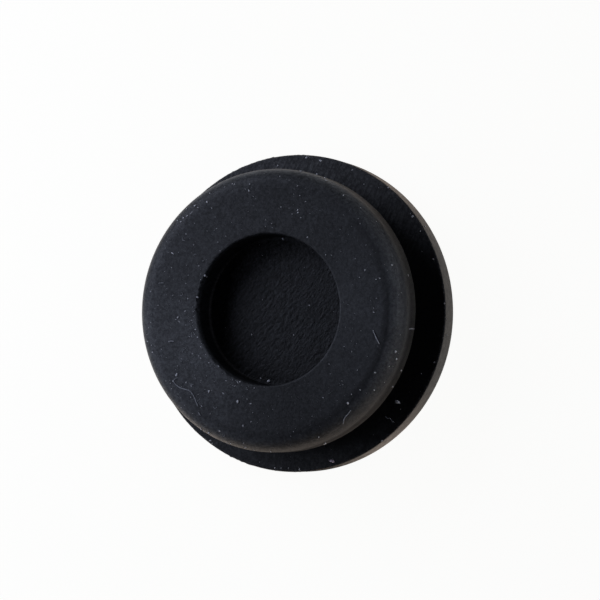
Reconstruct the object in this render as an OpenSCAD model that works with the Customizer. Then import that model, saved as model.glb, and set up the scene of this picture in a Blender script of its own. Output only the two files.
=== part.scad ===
// Closed rubber grommet, moulded in one piece: a wide flange, a groove that grips the edge of a
// panel, and a smaller nose flange with a rounded shoulder and a blind recess in its face.
// It lies on the flat back of its wide flange, with the nose up. The axis of the part is Z, and
// the origin is the centre of the back face. All lengths are in millimetres.

/* [Wide flange] */
// Diameter over the wide flange
wide_d = 20; // [18:0.1:26]
// Thickness of the wide flange
wide_t = 1.7; // [0.8:0.1:4]
// Rounding of both edges of the wide flange's rim
wide_edge_r = 0.1; // [0.05:0.01:0.35]

/* [Panel groove] */
// Diameter of the neck at the bottom of the groove, for a panel hole of that size
neck_d = 15; // [13:0.1:15.8]
// Width of the groove, for a panel of about that thickness
groove_w = 1.9; // [0.8:0.1:5]
// Fillet in the two inside corners of the groove
groove_r = 0.2; // [0.05:0.01:0.35]

/* [Nose flange] */
// Diameter over the nose flange, which is pushed through the panel
nose_d = 17.5; // [16.5:0.1:19.5]
// Thickness of the nose flange
nose_t = 2.65; // [1.8:0.05:5]
// Rounding of the shoulder that leads the nose into the hole
nose_shoulder_r = 1; // [0.3:0.05:1.4]
// Rounding of the nose flange's edge beside the groove
nose_edge_r = 0.25; // [0.05:0.01:0.35]

/* [Recess] */
// Diameter of the blind recess in the face of the nose
recess_d = 9.32; // [5:0.02:11]
// Depth of the recess below the face
recess_depth = 1.95; // [0.8:0.05:3]
// Rounding of the recess's mouth
recess_mouth_r = 0.12; // [0.05:0.01:0.3]
// Fillet round the floor of the recess
recess_floor_r = 0.2; // [0.05:0.01:0.35]

/* [Hidden] */
rubber = [0.15, 0.16, 0.18];
// Cuts run this far past the faces that they open
spare = 0.5;
nose_low = wide_t + groove_w;
height = nose_low + nose_t;
recess_floor = height - recess_depth;
$fn = 144;

// What a rounding of radius r takes off a corner of the section that points out and up
module corner_cut(r) {
    difference() {
        translate([-r, -r])
            square(r + spare);
        translate([-r, -r])
            circle(r);
    }
}

// What a fillet of radius r adds in an inside corner that opens out and up
module corner_fill(r) {
    difference() {
        translate([-spare, -spare])
            square(r + spare);
        translate([r, r])
            circle(r);
    }
}

// Half section of a flange, from the axis out to its radius, with both edges of its rim rounded
module flange_section(radius, low, thickness, low_r, high_r) {
    difference() {
        translate([0, low])
            square([radius, thickness]);
        translate([radius, low])
            mirror([0, 1])
                corner_cut(low_r);
        translate([radius, low + thickness])
            corner_cut(high_r);
    }
}

// Half section of the neck, which runs a little way into both flanges, with its two fillets
module neck_section() {
    translate([0, wide_t - groove_r])
        square([neck_d / 2, groove_w + 2 * groove_r]);
    translate([neck_d / 2, wide_t])
        corner_fill(groove_r);
    translate([neck_d / 2, nose_low])
        mirror([0, 1])
            corner_fill(groove_r);
}

// What the recess takes out of the half section: a straight wall, a filleted floor, a rounded mouth
module recess_section() {
    difference() {
        translate([-spare, recess_floor])
            square([recess_d / 2 + spare, recess_depth + spare]);
        translate([recess_d / 2, recess_floor])
            mirror([1, 0])
                corner_fill(recess_floor_r);
    }
    translate([recess_d / 2, height])
        mirror([1, 0])
            corner_cut(recess_mouth_r);
}

module grommet_section() {
    difference() {
        union() {
            flange_section(wide_d / 2, 0, wide_t, wide_edge_r, wide_edge_r);
            neck_section();
            flange_section(nose_d / 2, nose_low, nose_t, nose_edge_r, nose_shoulder_r);
        }
        recess_section();
    }
}

module grommet() {
    color(rubber)
        rotate_extrude()
            grommet_section();
}

grommet();
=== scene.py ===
"""Looks of a closed rubber grommet that lies on its wide flange: the moulded rubber with its flash
and tool marks, the dust and lint on it, a pale floor, soft lights and the camera.

Lengths are millimetres here and become metres where they reach Blender.
"""
import math
import random

import bmesh
import bpy
from mathutils import Matrix, Vector, noise
from mathutils.bvhtree import BVHTree


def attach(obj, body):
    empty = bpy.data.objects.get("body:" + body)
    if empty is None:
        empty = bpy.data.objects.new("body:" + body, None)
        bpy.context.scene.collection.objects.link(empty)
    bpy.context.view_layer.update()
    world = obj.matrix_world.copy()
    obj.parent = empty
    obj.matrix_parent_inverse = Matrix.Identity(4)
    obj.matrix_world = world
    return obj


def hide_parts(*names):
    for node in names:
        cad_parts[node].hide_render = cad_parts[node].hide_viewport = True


MM = 0.001

# Sizes of the moulded section
WIDE_R = 10.0
WIDE_T = 1.7
WIDE_EDGE_R = 0.1
NECK_R = 7.5
GROOVE_W = 1.9
GROOVE_R = 0.2
NOSE_R = 8.75
NOSE_T = 2.65
SHOULDER_R = 1.0
NOSE_EDGE_R = 0.25
RECESS_R = 4.66
RECESS_DEPTH = 1.95
MOUTH_R = 0.12
FLOOR_R = 0.2
NOSE_LOW = WIDE_T + GROOVE_W
HEIGHT = NOSE_LOW + NOSE_T
RECESS_FLOOR = HEIGHT - RECESS_DEPTH

# The mesh: steps round the axis, how close an edge loop lies to the end of each rounding, and steps
# along the roundings of the rim and the groove, the nose's small ones and its shoulder, along the
# straight stretches between them, and across the recess's floor
TURN_STEPS = 720
LOOP_GAP = 0.03
RIM_STEPS = 4
EDGE_STEPS = 5
SHOULDER_STEPS = 18
LINE_STEPS = 4
FLOOR_STEPS = 5

# Remains of the flash on the wide flange's rim: angle and half width of each patch in degrees, how
# far it stands out, how uneven the rim is all round, and the radii over which both set in
FLASH_PATCHES = ((98, 24), (264, 26))
FLASH_HIGH = 0.06
RIM_UNEVEN = 0.012
FLASH_RADII = (WIDE_R - 0.2, WIDE_R - 0.02)
# Small nicks in the recess's mouth: angle and half width of the rough stretch in degrees, and how
# deep they go
NICKED_ANGLE = 195
NICKED_HALF = 75
NICK_DEPTH = 0.085

# The camera, in the photograph's frame of 600 by 600 pixels
IMAGE = 600
PIXELS_PER_MM = 15.88
CAMERA_DISTANCE = 160.0
YAW = math.radians(20.4)
PITCH = math.radians(2.95)
# How far the middle of the wide flange's upper face lies right of and above the image's centre
AIM_RIGHT = -0.412
AIM_UP = -0.814
SENSOR = 36.0
FOCAL_PIXELS = PIXELS_PER_MM * CAMERA_DISTANCE
# The nearest and the farthest distance that it sees
NEAREST = 1.0
FARTHEST = 10000.0

# The soft lights that face the part: place, then width and height in millimetres, power in watts
LIGHTS = {
    "key": ((-62, 46, 62), (64, 46), 0.0194),
    "key_left": ((-68, 0, 43), (40, 24), 0.0039),
    "key_low": ((-53, -12, 60), (36, 24), 0.0029),
    "low_left": ((-48, -48, 42), (40, 24), 0.00127),
    "right": ((66, 20, 42), (50, 24), 0.0015),
    "right_low": ((78, 0, 17), (40, 24), 0.0015),
}
LIGHT_COLOUR = (0.93, 1.0, 1.25)

# The world: its colour, its strength to the camera, and its strength as a light
SKY_COLOUR = (1.0, 0.998, 0.99)
SKY_SEEN = 0.97
SKY_LIGHT = 0.0046

# The floor: its half width, how far it lies below the part, its colour, and what the camera sees
FLOOR_HALF = 600.0
FLOOR_DROP = 0.01
FLOOR_COLOUR = (0.12, 0.12, 0.12)
FLOOR_SEEN = (0.955, 0.955, 0.945)
# How strongly each zone of the floor lights the part, from beside the rim outwards, and towards the
# right, the left, the lower and the upper side. Beside the rim only the right side glows, and more
# so towards its upper and lower ends
RIM_GLOW = 0.61
RIM_END_GLOW = 0.79
NEAR_GLOW = 0.345
NEAR_LEFT_GLOW = 0.575
NEAR_LOWER_GLOW = 0.245
NEAR_UPPER_GLOW = 0.5
MID_GLOW = 0.345
MID_LOWER_GLOW = 0.69
FAR_RIGHT_GLOW = 2.24
FAR_LEFT_GLOW = 0.52
# Where each side of the floor sets in, as shares of the radius towards the right or the top
RIGHT_SIDE = (0.1, 0.6)
LEFT_SIDE = (-0.3, -0.7)
LOWER_SIDE = (-0.4, -0.75)
UPPER_SIDE = (0.7, 0.95)
# The radii between which each zone gives way to the next
RIM_TO_NEAR = (11.0, 12.5)
NEAR_TO_MID = (22.0, 28.0)
MID_TO_FAR = (44.0, 56.0)
# The glow's colours: close to the part, far off, and at the rim's ends and on the lower side
GLOW_CLOSE = (1.07, 1.0, 0.93)
GLOW_FAR = (0.96, 1.0, 1.08)
GLOW_WARM = (1.17, 1.0, 0.87)
# The radii where the close colour begins to fade, and where the far one is full, which is nearer on
# the upper side
CLOSE_COLOUR_R = 12.0
FAR_COLOUR_R = 30.0
FAR_COLOUR_UPPER_R = 15.0

# Scattered dust: flakes on the nose in each twelfth of a turn from the image's right,
# counter-clockwise, then in the recess, along the lower left of its mouth, and on the wide flange
DUST_SEED = 11
NOSE_DUST = (18, 17, 26, 24, 42, 38, 40, 48, 22, 13, 17, 20)
RECESS_DUST = 14
MOUTH_DUST = 30
MOUTH_DUST_ANGLES = (3.2, 4.5)
FLANGE_DUST = 34
# The radii between which each of these lies
NOSE_DUST_RADII = (RECESS_R + 0.1, NOSE_R - 0.05)
RECESS_DUST_RADII = (0, RECESS_R - 0.1)
MOUTH_DUST_RADII = (RECESS_R + 0.12, RECESS_R + 0.6)
FLANGE_DUST_RADII = (NOSE_R + 0.1, WIDE_R - 0.05)
# The height from which a flake or a fibre comes down on the part
DROP_HEIGHT = 50
# The radius of the smallest scattered flake, and how much larger the largest is
DUST_SMALL = 0.014
DUST_SPREAD = 0.034
# A flake's length, width and thickness as shares of its radius, and how uneven its corners are
FLAKE_LENGTH = (0.9, 1.5)
FLAKE_WIDTH = (0.6, 1.0)
FLAKE_THICKNESS = (0.35, 0.6)
FLAKE_UNEVEN = (0.75, 1.2)
DUST_COLOUR = (0.93, 0.93, 0.95)
PINK_COLOUR = (0.95, 0.80, 0.92)
# The brightest flakes, as pixels of the photograph, with their radius in millimetres
BRIGHT_SPECKS = (
    (320.7, 160.7, 0.11), (306.7, 157.5, 0.09), (269, 381, 0.105), (176.8, 374.9, 0.09),
    (392.4, 386.6, 0.08), (204.8, 275.4, 0.09), (210.5, 440.5, 0.065), (397.2, 401.8, 0.15),
    (434.5, 362.4, 0.07), (301, 171.3, 0.07), (283.2, 238.6, 0.085), (408, 275.2, 0.07),
    (433.3, 259, 0.06), (298.2, 212.6, 0.07), (324.8, 443.3, 0.11), (413, 216, 0.055),
    (365.1, 270.3, 0.06), (348, 403.2, 0.08), (237.8, 401.6, 0.09), (172, 253, 0.055),
    (209.2, 391.4, 0.08), (250.9, 403.7, 0.055), (243.3, 425.8, 0.06), (219.6, 431, 0.055),
    (209.2, 362.8, 0.065), (218.7, 366.4, 0.06), (223.6, 393.6, 0.055), (209.5, 432.9, 0.085),
    (201.8, 429.2, 0.075), (240.1, 381.9, 0.055), (317, 174.3, 0.07), (343.3, 195.5, 0.055),
    (326, 254.8, 0.055), (307.5, 237.2, 0.05), (444.2, 303.3, 0.05), (446.2, 319.1, 0.05),
    (197.6, 297.3, 0.065), (178, 317.2, 0.075), (185.5, 310.8, 0.05), (195.6, 329.6, 0.06),
    (173, 253.5, 0.06), (206.5, 276.7, 0.09), (188, 298.5, 0.05), (173.3, 380.9, 0.06),
    (395.4, 351.6, 0.09), (375.2, 372.6, 0.07), (401, 370.4, 0.07), (374.2, 390, 0.055),
    (382, 440.6, 0.06), (396.4, 359, 0.055), (388.3, 187.8, 0.055), (407.6, 204.6, 0.05),
    (412.6, 216.6, 0.07), (424.8, 226.4, 0.08), (420.2, 231.2, 0.05), (195.3, 205.6, 0.08),
    (198, 207.5, 0.06), (207, 202.2, 0.06), (183.5, 218, 0.07), (181, 222, 0.06),
    (187, 216, 0.05), (191, 213.5, 0.05), (177.6, 220.5, 0.05), (249, 190.8, 0.065),
    (261, 378.4, 0.055), (204.4, 431.2, 0.05), (230.8, 443.6, 0.055), (245, 447.8, 0.05),
    (446.6, 335, 0.05), (392, 265, 0.06), (281, 468, 0.045), (288.5, 468, 0.05),
    (299.5, 469.3, 0.07), (275, 467.8, 0.05), (212.5, 443.5, 0.045), (271, 451.6, 0.055),
    (352.5, 170.2, 0.06), (324.5, 177.8, 0.06),
)
PINK_FLAKE = (332, 461, 0.15)

# Lint, as pixels of the photograph along each fibre, and the fibre's radius in millimetres
FIBRES = {
    "curl": (((173.3, 380.9), (176, 384.4), (179.8, 387.4), (185.1, 389.3), (189.7, 390.9),
              (192.8, 394.3), (195.1, 398.9), (197, 403.5), (198.5, 406.6)), 0.026),
    "curl_hook": (((173.3, 380.9), (175.5, 378.6), (178, 377.8)), 0.018),
    "curl_end": (((198.9, 412.3), (199.7, 414), (200.8, 415.7)), 0.026),
    "straight": (((373, 330), (376, 337), (379.5, 344)), 0.03),
    "bent": (((343, 424), (344.5, 418), (348, 414), (351, 410)), 0.022),
    "squiggle": (((385, 416), (388, 418.5), (390, 418), (392, 421), (394.5, 422.5)), 0.022),
    "rim_dash": (((408.6, 329.1), (411.5, 328.6), (414.3, 328.8)), 0.026),
    "left_dash": (((168.7, 341.8), (171.5, 341.2), (174.4, 341.6)), 0.034),
    "upper_dash": (((158.5, 283.2), (161, 282.8), (164, 283)), 0.018),
}
# How high a fibre lies, how thick it is along its length and at its ends, as shares of its radius
FIBRE_LIFT = (0.8, 1.5)
FIBRE_THICK = (0.85, 1.15)
FIBRE_END = 0.55
# The sides of a fibre's tube, and its steps from one given point to the next
FIBRE_SIDES = 6
FIBRE_STEPS = 5
LINT_SEED = 5
# Short curls on the left of the nose: their number and radius, the angles and the radii between
# which they lie, their bend from step to step in radians, and the number and length of the steps
SMALL_CURLS = 11
CURL_R = 0.011
CURL_ANGLES = (2.2, 4.4)
CURL_RADII = (RECESS_R + 0.5, NOSE_R - 0.6)
CURL_BEND = 1.6
CURL_STEPS = 3
CURL_STEP = (0.07, 0.14)
LINT_COLOUR = (0.52, 0.53, 0.56)


def view_rotation():
    """Turns camera directions (right, up, back) into the part's own frame."""
    level = math.cos(PITCH)
    axis = Vector((-math.sin(YAW) * level, math.sin(PITCH), math.cos(YAW) * level))
    across = (Vector((1, 0, 0)) - axis.x * axis).normalized()
    return Matrix((across, axis.cross(across), axis))


def camera_place():
    return Vector((0, 0, WIDE_T)) + view_rotation() @ Vector((-AIM_RIGHT, -AIM_UP, CAMERA_DISTANCE))


def make_camera():
    data = bpy.data.cameras.new("camera")
    data.sensor_width = SENSOR
    data.lens = SENSOR * FOCAL_PIXELS / IMAGE
    data.clip_start = NEAREST * MM
    data.clip_end = FARTHEST * MM
    camera = bpy.data.objects.new("camera", data)
    bpy.context.scene.collection.objects.link(camera)
    camera.matrix_world = Matrix.Translation(camera_place() * MM) @ view_rotation().to_4x4()
    bpy.context.scene.camera = camera


def ray_through(pixel_x, pixel_y):
    """Where the camera's ray through a pixel starts, and its direction."""
    right = (pixel_x - IMAGE / 2) / FOCAL_PIXELS
    up = -(pixel_y - IMAGE / 2) / FOCAL_PIXELS
    return camera_place(), (view_rotation() @ Vector((right, up, -1))).normalized()


def arc(centre_r, centre_z, radius, first, last, steps):
    """Points of an arc in the section, from one angle to another in degrees."""
    points = []
    for i in range(steps + 1):
        angle = math.radians(first + (last - first) * i / steps)
        points.append((centre_r + radius * math.cos(angle), centre_z + radius * math.sin(angle)))
    return points


def line(start, end, steps):
    """Points between two ends of a straight stretch, with a loop close to each end."""
    near = LOOP_GAP / math.dist(start, end)
    shares = [near] + [i / steps for i in range(1, steps)] + [1 - near]
    return [tuple(a + (b - a) * s for a, b in zip(start, end)) for s in shares]


def section():
    """The outline of the section, from the middle of the back round to the middle of the recess."""
    corners = [
        arc(WIDE_R - WIDE_EDGE_R, WIDE_EDGE_R, WIDE_EDGE_R, -90, 0, RIM_STEPS),
        arc(WIDE_R - WIDE_EDGE_R, WIDE_T - WIDE_EDGE_R, WIDE_EDGE_R, 0, 90, RIM_STEPS),
        arc(NECK_R + GROOVE_R, WIDE_T + GROOVE_R, GROOVE_R, 270, 180, RIM_STEPS),
        arc(NECK_R + GROOVE_R, NOSE_LOW - GROOVE_R, GROOVE_R, 180, 90, RIM_STEPS),
        arc(NOSE_R - NOSE_EDGE_R, NOSE_LOW + NOSE_EDGE_R, NOSE_EDGE_R, -90, 0, EDGE_STEPS),
        arc(NOSE_R - SHOULDER_R, HEIGHT - SHOULDER_R, SHOULDER_R, 0, 90, SHOULDER_STEPS),
        arc(RECESS_R + MOUTH_R, HEIGHT - MOUTH_R, MOUTH_R, 90, 180, EDGE_STEPS),
        arc(RECESS_R - FLOOR_R, RECESS_FLOOR + FLOOR_R, FLOOR_R, 0, -90, EDGE_STEPS),
    ]
    points = [(0.0, 0.0)]
    for corner in corners:
        points += line(points[-1], corner[0], LINE_STEPS) + corner
    middle = (0.0, RECESS_FLOOR)
    return points + line(points[-1], middle, FLOOR_STEPS)[:-1] + [middle]


def smooth_step(x, low, high):
    t = min(max((x - low) / (high - low), 0), 1)
    return t * t * (3 - 2 * t)


def on_circle(angle, radius):
    return Vector((math.cos(angle), math.sin(angle), 0)) * radius


def nearness(angle, middle, half_width):
    """1 in the middle of a stretch of the turn, falling to 0 at its ends; the angles in degrees."""
    off = abs((math.degrees(angle) - middle + 180) % 360 - 180)
    return 1 - smooth_step(off, half_width * 0.6, half_width)


def flash(angle):
    """How far the remains of the flash stand out of the wide flange's rim."""
    amount = max(nearness(angle, *patch) for patch in FLASH_PATCHES)
    at = on_circle(angle, WIDE_R)
    fine = noise.noise(at * 5.0) + 0.6 * noise.noise(at * 11.0)
    coarse = noise.noise(at * 1.3) + noise.noise(at * 6.0)
    return RIM_UNEVEN * coarse + amount * FLASH_HIGH * max(fine, -0.1)


def nick(angle):
    """How far the recess's mouth is torn back."""
    at = on_circle(angle, RECESS_R)
    torn = max(noise.noise(at * 4.0) + 0.5 * noise.noise(at * 9.0), 0)
    return NICK_DEPTH * torn * nearness(angle, NICKED_ANGLE, NICKED_HALF)


def worn(r, z, angle):
    """The radius of a point of the section at an angle, with the flash and the nicks."""
    if r > NOSE_R + 1 and abs(z - WIDE_T) < WIDE_EDGE_R:
        return r + flash(angle) * smooth_step(r, *FLASH_RADII)
    if z > HEIGHT - MOUTH_R - LOOP_GAP / 2 and r < RECESS_R + MOUTH_R * 0.7:
        return r + nick(angle)
    return r


def revolve(points, steps):
    """A closed mesh of the section turned round the axis, in metres."""
    mesh = bmesh.new()
    rings = []
    for r, z in points[1:-1]:
        turn = (2 * math.pi * i / steps for i in range(steps))
        places = [on_circle(a, worn(r, z, a)) + Vector((0, 0, z)) for a in turn]
        rings.append([mesh.verts.new(place * MM) for place in places])
    for low, high in zip(rings, rings[1:]):
        for i in range(steps):
            j = (i + 1) % steps
            mesh.faces.new((low[i], low[j], high[j], high[i]))
    for point, ring in ((points[0], rings[0]), (points[-1], rings[-1])):
        middle = mesh.verts.new((0, 0, point[1] * MM))
        for i in range(steps):
            mesh.faces.new((middle, ring[i], ring[(i + 1) % steps]))
    bmesh.ops.recalc_face_normals(mesh, faces=mesh.faces)
    return mesh


def to_object(mesh, name, material):
    """A smooth object of a mesh, which is freed."""
    for face in mesh.faces:
        face.smooth = True
    data = bpy.data.meshes.new(name)
    mesh.to_mesh(data)
    mesh.free()
    data.materials.append(material)
    made = bpy.data.objects.new(name, data)
    bpy.context.scene.collection.objects.link(made)
    return made


class Shader:
    """A material's node tree, with short calls to add nodes and join them."""

    def __init__(self, name):
        self.material = bpy.data.materials.new(name)
        self.material.use_nodes = True
        self.tree = self.material.node_tree
        self.bsdf = self.tree.nodes["Principled BSDF"]
        where = self.tree.nodes.new("ShaderNodeTexCoord").outputs["Object"]
        scaled = self.node("ShaderNodeVectorMath", operation="SCALE")
        self.join(where, scaled.inputs[0])
        scaled.inputs["Scale"].default_value = 1 / MM
        self.place = scaled.outputs["Vector"]
        split = self.node("ShaderNodeSeparateXYZ")
        self.join(self.place, split.inputs["Vector"])
        self.x, self.y, self.z = (split.outputs[name] for name in "XYZ")
        squares = [self.math("MULTIPLY", side, side) for side in (self.x, self.y)]
        self.radius = self.math("SQRT", self.math("ADD", *squares))

    def node(self, kind, **values):
        made = self.tree.nodes.new(kind)
        for name, value in values.items():
            setattr(made, name, value)
        return made

    def join(self, source, target):
        self.tree.links.new(source, target)

    def feed(self, socket, value):
        """Sets a socket to a number or a colour, or joins an output to it."""
        if isinstance(value, tuple):
            socket.default_value = (*value, 1.0)
        elif isinstance(value, (int, float)):
            socket.default_value = value
        else:
            self.join(value, socket)

    def math(self, operation, *inputs):
        made = self.node("ShaderNodeMath", operation=operation)
        for socket, value in zip(made.inputs, inputs):
            self.feed(socket, value)
        return made.outputs["Value"]

    def product(self, *factors):
        result = factors[0]
        for factor in factors[1:]:
            result = self.math("MULTIPLY", result, factor)
        return result

    def directions(self):
        """How far a point lies towards the image's right and its top, as shares of its radius."""
        return self.math("DIVIDE", self.x, self.radius), self.math("DIVIDE", self.y, self.radius)

    def swing(self, angle, crest, mean, height):
        """A value that swings once round the axis, with its crest at an angle in degrees."""
        wave = self.math("COSINE", self.math("ADD", angle, -math.radians(crest)))
        return self.math("MULTIPLY_ADD", wave, height, mean)

    def ramp(self, value, low, high, out_low=0.0, out_high=1.0):
        """A smooth rise from one value to another as the input goes from low to high."""
        made = self.node("ShaderNodeMapRange", interpolation_type="SMOOTHSTEP")
        names = ("Value", "From Min", "From Max", "To Min", "To Max")
        for name, given in zip(names, (value, low, high, out_low, out_high)):
            self.feed(made.inputs[name], given)
        return made.outputs["Result"]

    def noise(self, scale, detail=2.0, roughness=0.5, vector=None):
        """Noise whose grains are about 1 / scale millimetres across."""
        made = self.node("ShaderNodeTexNoise")
        self.join(vector or self.place, made.inputs["Vector"])
        made.inputs["Scale"].default_value = scale
        made.inputs["Detail"].default_value = detail
        made.inputs["Roughness"].default_value = roughness
        return made.outputs["Fac"]

    def streaks(self, angle, across, along):
        """Noise drawn out into straight streaks that run at an angle in degrees."""
        turned = self.node("ShaderNodeVectorRotate", rotation_type="Z_AXIS")
        turned.inputs["Angle"].default_value = math.radians(-angle)
        self.join(self.place, turned.inputs["Vector"])
        drawn = self.node("ShaderNodeVectorMath", operation="MULTIPLY")
        drawn.inputs[1].default_value = (along, across, 1.0)
        self.join(turned.outputs["Vector"], drawn.inputs[0])
        return self.noise(1.0, 3.0, 0.55, drawn.outputs["Vector"])

    def mix(self, share, first, second):
        made = self.node("ShaderNodeMix")
        for index, value in ((0, share), (2, first), (3, second)):
            self.feed(made.inputs[index], value)
        return made.outputs[0]

    def colour_mix(self, share, first, second):
        made = self.node("ShaderNodeMix", data_type="RGBA")
        self.feed(made.inputs["Factor"], share)
        self.feed(made.inputs[6], first)
        self.feed(made.inputs[7], second)
        return made.outputs[2]

    def scaled_colour(self, colour, factor):
        made = self.node("ShaderNodeVectorMath", operation="SCALE")
        if isinstance(colour, tuple):
            made.inputs[0].default_value = colour
        else:
            self.join(colour, made.inputs[0])
        self.feed(made.inputs["Scale"], factor)
        return made.outputs["Vector"]

    def bump(self, height, distance, below=None):
        """The normal of bumps, a distance in millimetres high, on top of the bumps below."""
        made = self.node("ShaderNodeBump")
        made.inputs["Distance"].default_value = distance * MM
        self.join(height, made.inputs["Height"])
        if below is not None:
            self.join(below, made.inputs["Normal"])
        return made.outputs["Normal"]


# The rubber's colours: in the recess, on the wide flange's rim and painted light on that rim's
# ends, in the groove, on the wide flange's wiped upper face, and on the nose under its haze of dust
RUBBER_CLEAN = (0.0070, 0.0075, 0.0085)
RUBBER_RIM = (0.0165, 0.0174, 0.0181)
RIM_ENDS_LIGHT = (0.0591, 0.0539, 0.0478)
RUBBER_GROOVE = (0.0104, 0.0109, 0.0109)
RUBBER_FLANGE = (0.0539, 0.0548, 0.0557)
RUBBER_HAZY = (0.0335, 0.0348, 0.0361)
# Dust too fine for flakes all over, a painted glint in the fillet of the recess's floor, and dust
# too fine for flakes on the rim's edge
FINE_DUST = (0.1478, 0.1478, 0.1478)
FILLET_GLINT = (0.055, 0.050, 0.047)
EDGE_DUST = (0.0652, 0.0652, 0.0652)
RUBBER_IOR = 1.46
# How thick the haze is round the nose: its mean, and waves of painted light and shade, lightest at
# the left and darkest at the lower side, with their count, the angle of a crest in degrees, and
# their height
HAZE_MEAN = 1.43
HAZE_AND_LIGHT_WAVES = ((1, 202, 0.30), (2, 13, 0.53), (3, -20, 0.26))
# A ring of painted shade where the shoulder begins, which turns to a painted highlight at the upper
# left: the radii over which it sets in, the radius where it begins to fade, the radii where it ends
# on the upper and on the lower side, and its strength round the axis, as the angle of its crest in
# degrees, its mean and its swing
RING_START = (7.35, 7.65)
RING_FADE = 7.76
RING_ENDS = (7.95, 8.06)
RING_STRENGTH = (-38, 0.2, 0.46)
# A painted highlight on the shoulder's turn, strongest at the right: the radii over which it sets
# in, how far below the face it is full and where it ends at the sides and at the upper and lower
# ends, and its strength round the axis
TURN_START = (7.75, 8.2)
TURN_FULL = 0.17
TURN_SIDE = 0.45
TURN_END = 0.65
TURN_STRENGTH = (-10, 0.55, 0.55)
# Painted shade on the nose's wall beside the groove: heights above its lower side where it begins
# and is darkest, and the share of the haze's brightness that it takes away there
WALL_FROM = 1.97
WALL_TO = 0.9
WALL_SHADE = 0.88
# The heights over which the recess and the nose set in as zones of the rubber
RECESS_ZONE = (HEIGHT - 0.15, HEIGHT - 0.6)
NOSE_ZONE = (NOSE_LOW + 0.1, NOSE_LOW + 1.2)
# The directions of the streaks on the wide flange and of the tool marks in the recess, in degrees
FLANGE_STREAKS = 64
TOOL_MARKS = 48
# The darkest and the lightest shade of those streaks, of the scraping by the tool, of the dust near
# the wide flange's edge, and of the clouds in the haze
STREAK_SHADE = (0.6, 1.45)
SCRAPED_SHADE = (0.0, 2.4)
DUSTY_SHADE = (0.5, 2.5)
CLOUD_SHADE = (0.88, 1.12)
# The grain's darkest and lightest share, and how strongly it shows at the right and at the top
GRAIN_SHADE = (-0.56, 0.70)
GRAIN_RIGHT = 0.72
GRAIN_TOP = 1.25
# The rubber's roughness, and what the recess, its wall and the wall beside the groove add to it
ROUGHNESS = (0.47, 0.55)
RECESS_ROUGHER = 0.05
RECESS_WALL_ROUGHER = 0.4
GROOVE_WALL_ROUGHER = 0.22
# Heights of the bumps: the grain, a broader unevenness, and the tool marks
GRAIN_HEIGHT = 0.02
UNEVEN_HEIGHT = 0.02
MARKS_HEIGHT = 0.053
DUST_ROUGHNESS = 0.85


def haze_and_light_round_nose(s, angle):
    """How thick the haze lies on the nose, with painted light and shade that change round the axis.
    """
    thick = HAZE_MEAN
    # Waves of painted light and shade round the axis
    for waves, crest, height in HAZE_AND_LIGHT_WAVES:
        turned = s.math("MULTIPLY_ADD", angle, waves, -waves * math.radians(crest))
        thick = s.math("MULTIPLY_ADD", s.math("COSINE", turned), height, thick)
    return thick


def painted_light_on_haze(s, angle, north, wall):
    """Painted light and shade on the haze: a ring of painted shade where the shoulder begins,
    turning to a painted highlight at the upper left, a painted highlight on the shoulder's turn,
    and painted shade on the wall beside the groove.
    """
    # A ring of painted shade where the shoulder begins, turning to a painted highlight at the upper
    # left
    ring_end = s.ramp(north, 0.0, -0.3, *RING_ENDS)
    ring = s.product(s.ramp(s.radius, *RING_START), s.ramp(s.radius, ring_end, RING_FADE))
    ring = s.product(ring, s.swing(angle, *RING_STRENGTH))
    # A painted highlight on the shoulder's turn, strongest at the right
    to_end = s.math("ABSOLUTE", north)
    turn_low = s.ramp(to_end, 0.5, 0.95, HEIGHT - TURN_SIDE, HEIGHT - TURN_END)
    turn = s.product(s.ramp(s.radius, *TURN_START), s.ramp(s.z, turn_low, HEIGHT - TURN_FULL))
    turn = s.product(turn, s.swing(angle, *TURN_STRENGTH))
    painted_light = s.product(s.math("SUBTRACT", 1.0, ring), s.math("ADD", turn, 1.0))
    # Painted shade on the wall beside the groove
    return s.product(painted_light, s.math("MULTIPLY_ADD", wall, -WALL_SHADE, 1.0))


def flange_colour(s, east, north):
    """The wide flange and the neck: a rim with painted light at its upper and lower ends, a dark
    groove, an upper face wiped in streaks on its upper side, and dust along its edge at the bottom.
    """
    # Painted light: the rim turns lighter and warmer towards its upper and lower ends
    rim = s.colour_mix(s.ramp(s.math("ABSOLUTE", north), 0.45, 0.85), RUBBER_RIM, RIM_ENDS_LIGHT)
    colour = s.colour_mix(s.ramp(s.z, WIDE_T - 0.1, WIDE_T - 0.02), rim, RUBBER_GROOVE)
    streaks = s.ramp(s.streaks(FLANGE_STREAKS, 7.0, 1.2), 0.35, 0.65, *STREAK_SHADE)
    wiped = s.scaled_colour(RUBBER_FLANGE, streaks)
    above_rim = s.ramp(s.z, WIDE_T - 0.1, WIDE_T)
    upper_face = s.product(above_rim, s.ramp(s.z, WIDE_T + 0.2, WIDE_T + 0.1))
    wiped_side = s.product(s.ramp(north, 0.2, 0.8), s.ramp(east, -0.7, -0.2, 0.7, 1.0))
    colour = s.colour_mix(s.product(wiped_side, upper_face), colour, wiped)
    outer = s.ramp(s.radius, NOSE_R - 0.3, WIDE_R - 0.3)
    uneven = s.ramp(s.noise(2.0, 3.0, 0.6), 0.35, 0.65, *DUSTY_SHADE)
    dusty = s.product(outer, s.ramp(north, -0.6, -0.85), uneven)
    return s.scaled_colour(colour, s.math("ADD", dusty, 1.0))


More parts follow.
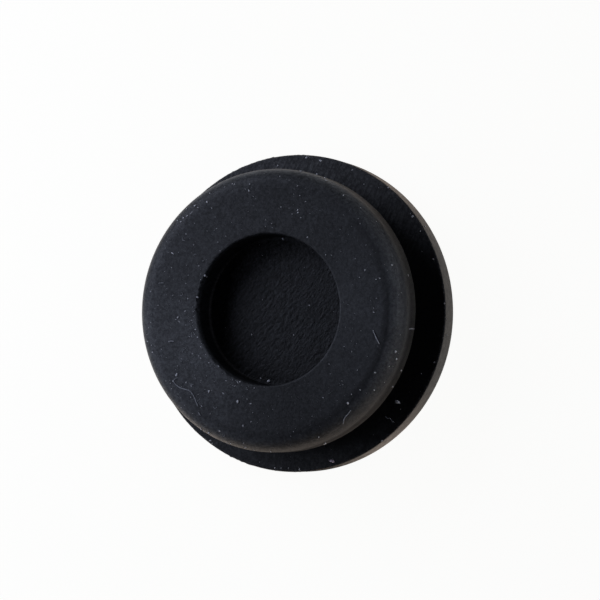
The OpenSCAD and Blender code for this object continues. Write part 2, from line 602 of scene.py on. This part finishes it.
def recess_colour(s, east):
    """The recess: scraped by the tool, with painted shade towards its lower side, and a painted
    glint along the fillet round its floor at the left.
    """
    scraped = s.math("ADD", s.streaks(TOOL_MARKS, 8.0, 3.0), s.noise(6.0, 3.0, 0.7))
    scraped = s.ramp(scraped, 0.82, 1.18, *SCRAPED_SHADE)
    # Painted shade: the scraped rubber grows darker towards the recess's lower side
    scraped_and_shaded = s.scaled_colour(RUBBER_CLEAN, s.product(scraped, s.ramp(s.y, -1.8, -4.0, 1.0, 0.5)))
    # A painted glint, in a lighter colour, along the fillet at the left of the floor
    inner_side = s.ramp(s.radius, RECESS_R - 0.16, RECESS_R - 0.11)
    outer_side = s.ramp(s.radius, RECESS_R, RECESS_R - 0.04)
    at_left = s.ramp(east, -0.3, -0.7)
    uneven = s.ramp(s.noise(3.0, 2.0, 0.5), 0.3, 0.5, 0.5, 1.0)
    return s.colour_mix(s.product(inner_side, outer_side, at_left, uneven), scraped_and_shaded, FILLET_GLINT)


def with_fine_dust(s, colour, on_nose):
    """A colour with dust too fine for flakes, thickest on the nose and along the rim's edge."""
    dots = s.ramp(s.noise(13.0, 1.0, 0.5), 0.70, 0.78)
    colour = s.colour_mix(s.product(dots, s.ramp(on_nose, 0.0, 1.0, 0.3, 1.0)), colour, FINE_DUST)
    near_rim = s.ramp(s.radius, WIDE_R - 0.2, WIDE_R - 0.08)
    rim_edge = s.product(near_rim, s.ramp(s.z, WIDE_T - 0.2, WIDE_T - 0.08))
    patches = s.ramp(s.noise(8.0, 2.0, 0.6), 0.48, 0.62)
    return s.colour_mix(s.product(patches, rim_edge), colour, EDGE_DUST)


def rubber_roughness(s, in_recess, groove_wall):
    """Uneven all over, and higher in the recess, on its wall, and on the wall beside the groove."""
    rough = s.ramp(s.noise(3.0, 2.0, 0.5), 0.3, 0.7, *ROUGHNESS)
    above_floor = s.ramp(s.z, RECESS_FLOOR + FLOOR_R, RECESS_FLOOR + FLOOR_R + 0.1)
    recess_wall = s.product(above_floor, in_recess)
    rough = s.math("MULTIPLY_ADD", recess_wall, RECESS_WALL_ROUGHER, rough)
    rough = s.math("MULTIPLY_ADD", groove_wall, GROOVE_WALL_ROUGHER, rough)
    return s.math("MULTIPLY_ADD", in_recess, RECESS_ROUGHER, rough)


def rubber_normal(s, grain, in_recess):
    """The grain, a slight unevenness, and the tool marks in the recess."""
    marks = s.math("ADD", s.streaks(TOOL_MARKS, 6.5, 2.4), s.noise(4.5, 3.0, 0.7))
    normal = s.bump(grain, GRAIN_HEIGHT)
    normal = s.bump(s.noise(2.2, 2.0, 0.5), UNEVEN_HEIGHT, below=normal)
    return s.bump(s.product(marks, in_recess), MARKS_HEIGHT, below=normal)


def rubber_material():
    """Matte black rubber with painted light and shade: a haze of dust on the nose, a fine grain,
    tool marks in the recess.
    """
    s = Shader("black_rubber")
    east, north = s.directions()
    angle = s.math("ARCTAN2", s.y, s.x)
    inside_mouth = s.ramp(s.radius, RECESS_R + 0.1, RECESS_R)
    in_recess = s.product(inside_mouth, s.ramp(s.z, *RECESS_ZONE))
    outside_recess = s.math("SUBTRACT", 1.0, in_recess)
    on_nose = s.product(s.ramp(s.z, *NOSE_ZONE), outside_recess)
    wall = s.ramp(s.z, NOSE_LOW + WALL_FROM, NOSE_LOW + WALL_TO)

    grain = s.noise(5.5, 4.0, 0.8)
    shown_right = s.ramp(east, 0.2, 0.8, 1.0, GRAIN_RIGHT)
    shown = s.product(shown_right, s.ramp(north, 0.2, 0.8, 1.0, GRAIN_TOP))
    speckle = s.math("MULTIPLY_ADD", s.ramp(grain, 0.34, 0.70, *GRAIN_SHADE), shown, 1.0)
    cloud = s.ramp(s.noise(0.4, 3.0, 0.6), 0.3, 0.7, *CLOUD_SHADE)
    # Painted light and shade worked into the haze round the nose
    painted_light = painted_light_on_haze(s, angle, north, wall)
    haze_and_light = s.product(haze_and_light_round_nose(s, angle), painted_light, cloud, speckle)
    plain = s.colour_mix(in_recess, flange_colour(s, east, north), recess_colour(s, east))
    plain = s.scaled_colour(plain, speckle)
    colour = s.colour_mix(on_nose, plain, s.scaled_colour(RUBBER_HAZY, haze_and_light))

    groove_wall = s.product(wall, on_nose, s.ramp(north, 0.4, -0.2))
    s.join(with_fine_dust(s, colour, on_nose), s.bsdf.inputs["Base Color"])
    s.join(rubber_roughness(s, in_recess, groove_wall), s.bsdf.inputs["Roughness"])
    s.join(rubber_normal(s, grain, in_recess), s.bsdf.inputs["Normal"])
    s.bsdf.inputs["IOR"].default_value = RUBBER_IOR
    return s.material


def make_grommet(material):
    body = to_object(revolve(section(), TURN_STEPS), "moulded_rubber", material)
    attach(body, "root")
    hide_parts("grommet")
    return body


def dust_material(name, colour):
    """Pale matte flecks, a little uneven in shade."""
    s = Shader(name)
    shade = s.ramp(s.noise(6.0, 2.0, 0.6), 0.3, 0.7, 0.85, 1.05)
    s.join(s.scaled_colour(colour, shade), s.bsdf.inputs["Base Color"])
    s.bsdf.inputs["Roughness"].default_value = DUST_ROUGHNESS
    return s.material


class Surface:
    """The outside of the grommet, on which dust and lint come to rest; all in millimetres."""

    def __init__(self, body):
        data = body.data
        places = [vert.co / MM for vert in data.vertices]
        self.tree = BVHTree.FromPolygons(places, [face.vertices[:] for face in data.polygons])

    def at_pixel(self, pixel_x, pixel_y):
        start, way = ray_through(pixel_x, pixel_y)
        place, normal, _, _ = self.tree.ray_cast(start, way)
        return place, normal

    def below(self, x, y):
        above = Vector((x, y, DROP_HEIGHT))
        place, normal, _, _ = self.tree.ray_cast(above, Vector((0, 0, -1)))
        return place, normal

    def nearest(self, point):
        place, normal, _, _ = self.tree.find_nearest(point)
        return place, normal


def add_flake(mesh, place, normal, radius, rng):
    """One irregular flat flake of dust that lies on the surface."""
    made = bmesh.ops.create_icosphere(mesh, subdivisions=1, radius=1.0)["verts"]
    spin = Matrix.Rotation(rng.uniform(0, math.tau), 3, "Z")
    turn = normal.to_track_quat("Z", "Y").to_matrix() @ spin
    sides = (FLAKE_LENGTH, FLAKE_WIDTH, FLAKE_THICKNESS)
    stretch = Vector([radius * rng.uniform(*side) for side in sides])
    for vert in made:
        jitter = rng.uniform(*FLAKE_UNEVEN)
        local = Vector([a * b * jitter for a, b in zip(vert.co, stretch)])
        vert.co = (place + normal * stretch.z * 0.5 + turn @ local) * MM


def make_dust(surface):
    """Dust over the nose, in the recess and on the wide flange, and the brightest flakes."""
    rng = random.Random(DUST_SEED)
    mesh = bmesh.new()

    def scatter(count, low_angle, high_angle, low_r, high_r):
        for _ in range(count):
            angle = rng.uniform(low_angle, high_angle)
            reach = math.sqrt(rng.uniform(low_r ** 2, high_r ** 2))
            radius = DUST_SMALL + DUST_SPREAD * rng.random() ** 3
            spot = on_circle(angle, reach)
            add_flake(mesh, *surface.below(spot.x, spot.y), radius, rng)

    sectors = len(NOSE_DUST)
    for sector, count in enumerate(NOSE_DUST):
        first, last = math.tau * sector / sectors, math.tau * (sector + 1) / sectors
        scatter(count, first, last, *NOSE_DUST_RADII)
    scatter(MOUTH_DUST, *MOUTH_DUST_ANGLES, *MOUTH_DUST_RADII)
    scatter(RECESS_DUST, 0, math.tau, *RECESS_DUST_RADII)
    scatter(FLANGE_DUST, 0, math.tau, *FLANGE_DUST_RADII)
    for x, y, radius in BRIGHT_SPECKS:
        add_flake(mesh, *surface.at_pixel(x, y), radius, rng)
    dust = to_object(mesh, "dust", dust_material("pale_dust", DUST_COLOUR))
    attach(dust, "root")

    mesh = bmesh.new()
    add_flake(mesh, *surface.at_pixel(*PINK_FLAKE[:2]), PINK_FLAKE[2], rng)
    flake = to_object(mesh, "pink_flake", dust_material("pink_dust", PINK_COLOUR))
    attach(flake, "root")


def smooth_path(points, steps):
    """Points of a smooth curve through the given ones."""
    ends = [points[0] * 2 - points[1]] + points + [points[-1] * 2 - points[-2]]
    path = []
    for a, b, c, d in zip(ends, ends[1:], ends[2:], ends[3:]):
        for i in range(steps):
            t = i / steps
            path.append(0.5 * (2 * b + (c - a) * t + (2 * a - 5 * b + 4 * c - d) * t * t
                               + (3 * b - a - 3 * c + d) * t ** 3))
    return path + [points[-1]]


def add_fibre(mesh, surface, points, radius, rng):
    """One fibre of lint: a tube through the points, laid on the surface."""
    laid = []
    for point in smooth_path(points, FIBRE_STEPS):
        place, normal = surface.nearest(point)
        laid.append((place + normal * radius * rng.uniform(*FIBRE_LIFT), normal))
    turns = [math.tau * k / FIBRE_SIDES for k in range(FIBRE_SIDES)]
    rings = []
    for i, (place, normal) in enumerate(laid):
        ahead = (laid[min(i + 1, len(laid) - 1)][0] - laid[max(i - 1, 0)][0]).normalized()
        side = ahead.cross(normal).normalized()
        up = side.cross(ahead)
        thick = radius * (FIBRE_END if i in (0, len(laid) - 1) else rng.uniform(*FIBRE_THICK))
        spots = [place + thick * (math.cos(a) * side + math.sin(a) * up) for a in turns]
        rings.append([mesh.verts.new(spot * MM) for spot in spots])
    for low, high in zip(rings, rings[1:]):
        for k in range(FIBRE_SIDES):
            after = (k + 1) % FIBRE_SIDES
            mesh.faces.new((low[k], low[after], high[after], high[k]))
    mesh.faces.new(rings[0][::-1])
    mesh.faces.new(rings[-1])


def make_lint(surface):
    """The fibres that show in the photograph, and short curls on the left of the nose."""
    rng = random.Random(LINT_SEED)
    mesh = bmesh.new()
    for pixels, radius in FIBRES.values():
        points = [surface.at_pixel(*pixel)[0] for pixel in pixels]
        add_fibre(mesh, surface, points, radius, rng)
    for _ in range(SMALL_CURLS):
        spot = on_circle(rng.uniform(*CURL_ANGLES), rng.uniform(*CURL_RADII))
        heading = rng.uniform(0, math.tau)
        bend = rng.uniform(-CURL_BEND, CURL_BEND)
        points = [surface.below(spot.x, spot.y)[0]]
        for _ in range(CURL_STEPS):
            spot = spot + on_circle(heading, rng.uniform(*CURL_STEP))
            heading += bend
            points.append(surface.below(spot.x, spot.y)[0])
        add_fibre(mesh, surface, points, CURL_R, rng)
    bmesh.ops.recalc_face_normals(mesh, faces=mesh.faces)
    lint = to_object(mesh, "lint", dust_material("pale_lint", LINT_COLOUR))
    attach(lint, "root")


def seen_by_camera(tree):
    return tree.nodes.new("ShaderNodeLightPath").outputs["Is Camera Ray"]


def floor_glow(s, east, north):
    """How strongly each zone of the floor lights the part."""
    right = s.ramp(east, *RIGHT_SIDE)
    left = s.ramp(east, *LEFT_SIDE)
    lower = s.ramp(north, *LOWER_SIDE)
    upper = s.ramp(north, *UPPER_SIDE)
    to_end = s.math("ABSOLUTE", north)
    close = s.product(right, s.ramp(to_end, 0.4, 0.95, RIM_GLOW, RIM_END_GLOW))
    near = s.ramp(right, 0.0, 1.0, NEAR_GLOW, 0.0)
    near = s.math("ADD", near, s.product(left, NEAR_LEFT_GLOW))
    near = s.math("ADD", near, s.product(lower, NEAR_LOWER_GLOW))
    near = s.math("ADD", near, s.product(upper, NEAR_UPPER_GLOW))
    midway = s.ramp(right, 0.0, 1.0, MID_GLOW, 0.0)
    midway = s.math("ADD", midway, s.product(lower, MID_LOWER_GLOW))
    far = s.math("ADD", s.product(right, FAR_RIGHT_GLOW), s.product(left, FAR_LEFT_GLOW))
    glow = s.mix(s.ramp(s.radius, *RIM_TO_NEAR), close, near)
    glow = s.mix(s.ramp(s.radius, *NEAR_TO_MID), glow, midway)
    return s.mix(s.ramp(s.radius, *MID_TO_FAR), glow, far)


def floor_glow_colour(s, north):
    """The colour of that light: bluish far off, warmer close to the part and at its lower side."""
    to_end = s.math("ABSOLUTE", north)
    colour = s.colour_mix(s.ramp(to_end, 0.35, 0.8), GLOW_CLOSE, GLOW_WARM)
    far_r = s.ramp(north, 0.4, 0.85, FAR_COLOUR_R, FAR_COLOUR_UPPER_R)
    colour = s.colour_mix(s.ramp(s.radius, CLOSE_COLOUR_R, far_r), colour, GLOW_FAR)
    return s.colour_mix(s.ramp(north, -0.35, -1.0), colour, GLOW_WARM)


def make_floor():
    """A pale floor: even to the eye, while its zones light the part unevenly."""
    corners = ((-1, -1), (1, -1), (1, 1), (-1, 1))
    places = [Vector((a * FLOOR_HALF, b * FLOOR_HALF, -FLOOR_DROP)) * MM for a, b in corners]
    data = bpy.data.meshes.new("floor")
    data.from_pydata(places, [], [(0, 1, 2, 3)])
    s = Shader("pale_floor")
    s.bsdf.inputs["Base Color"].default_value = (*FLOOR_COLOUR, 1)
    s.bsdf.inputs["Roughness"].default_value = 1.0
    s.bsdf.inputs["Specular IOR Level"].default_value = 0.0
    east, north = s.directions()
    seen = seen_by_camera(s.tree)
    s.join(s.mix(seen, floor_glow(s, east, north), 1.0), s.bsdf.inputs["Emission Strength"])
    colour = s.colour_mix(seen, floor_glow_colour(s, north), FLOOR_SEEN)
    s.join(colour, s.bsdf.inputs["Emission Color"])
    data.materials.append(s.material)
    floor = bpy.data.objects.new("floor", data)
    bpy.context.scene.collection.objects.link(floor)


def make_light(name, place, size, power):
    """A rectangular soft light at a place in millimetres that faces the part."""
    data = bpy.data.lights.new(name, "AREA")
    data.shape = "RECTANGLE"
    data.size, data.size_y = size[0] * MM, size[1] * MM
    data.energy = power
    data.color = LIGHT_COLOUR
    light = bpy.data.objects.new(name, data)
    bpy.context.scene.collection.objects.link(light)
    light.location = Vector(place) * MM
    way = Vector((0, 0, HEIGHT)) * MM - light.location
    light.rotation_euler = way.to_track_quat("-Z", "Y").to_euler()


def make_world():
    """Pale to the eye, and nearly dark as a source of light, so that the groove stays black."""
    world = bpy.data.worlds.new("world")
    world.use_nodes = True
    tree = world.node_tree
    background = tree.nodes["Background"]
    strength = tree.nodes.new("ShaderNodeMapRange")
    strength.inputs["To Min"].default_value = SKY_LIGHT
    strength.inputs["To Max"].default_value = SKY_SEEN
    tree.links.new(seen_by_camera(tree), strength.inputs["Value"])
    tree.links.new(strength.outputs["Result"], background.inputs["Strength"])
    background.inputs["Color"].default_value = (*SKY_COLOUR, 1)
    bpy.context.scene.world = world


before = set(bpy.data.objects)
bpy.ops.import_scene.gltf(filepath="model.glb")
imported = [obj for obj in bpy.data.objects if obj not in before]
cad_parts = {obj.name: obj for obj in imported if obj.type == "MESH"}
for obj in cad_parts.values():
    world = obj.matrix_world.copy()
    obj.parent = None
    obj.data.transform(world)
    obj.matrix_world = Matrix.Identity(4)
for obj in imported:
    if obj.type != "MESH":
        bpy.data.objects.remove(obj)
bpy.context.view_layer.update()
view = bpy.context.scene.view_settings
view.view_transform = "Standard"
view.look = "None"
make_camera()
make_world()
make_floor()
for light_name, values in LIGHTS.items():
    make_light(light_name, *values)
grommet = make_grommet(rubber_material())
outside = Surface(grommet)
make_dust(outside)
make_lint(outside)
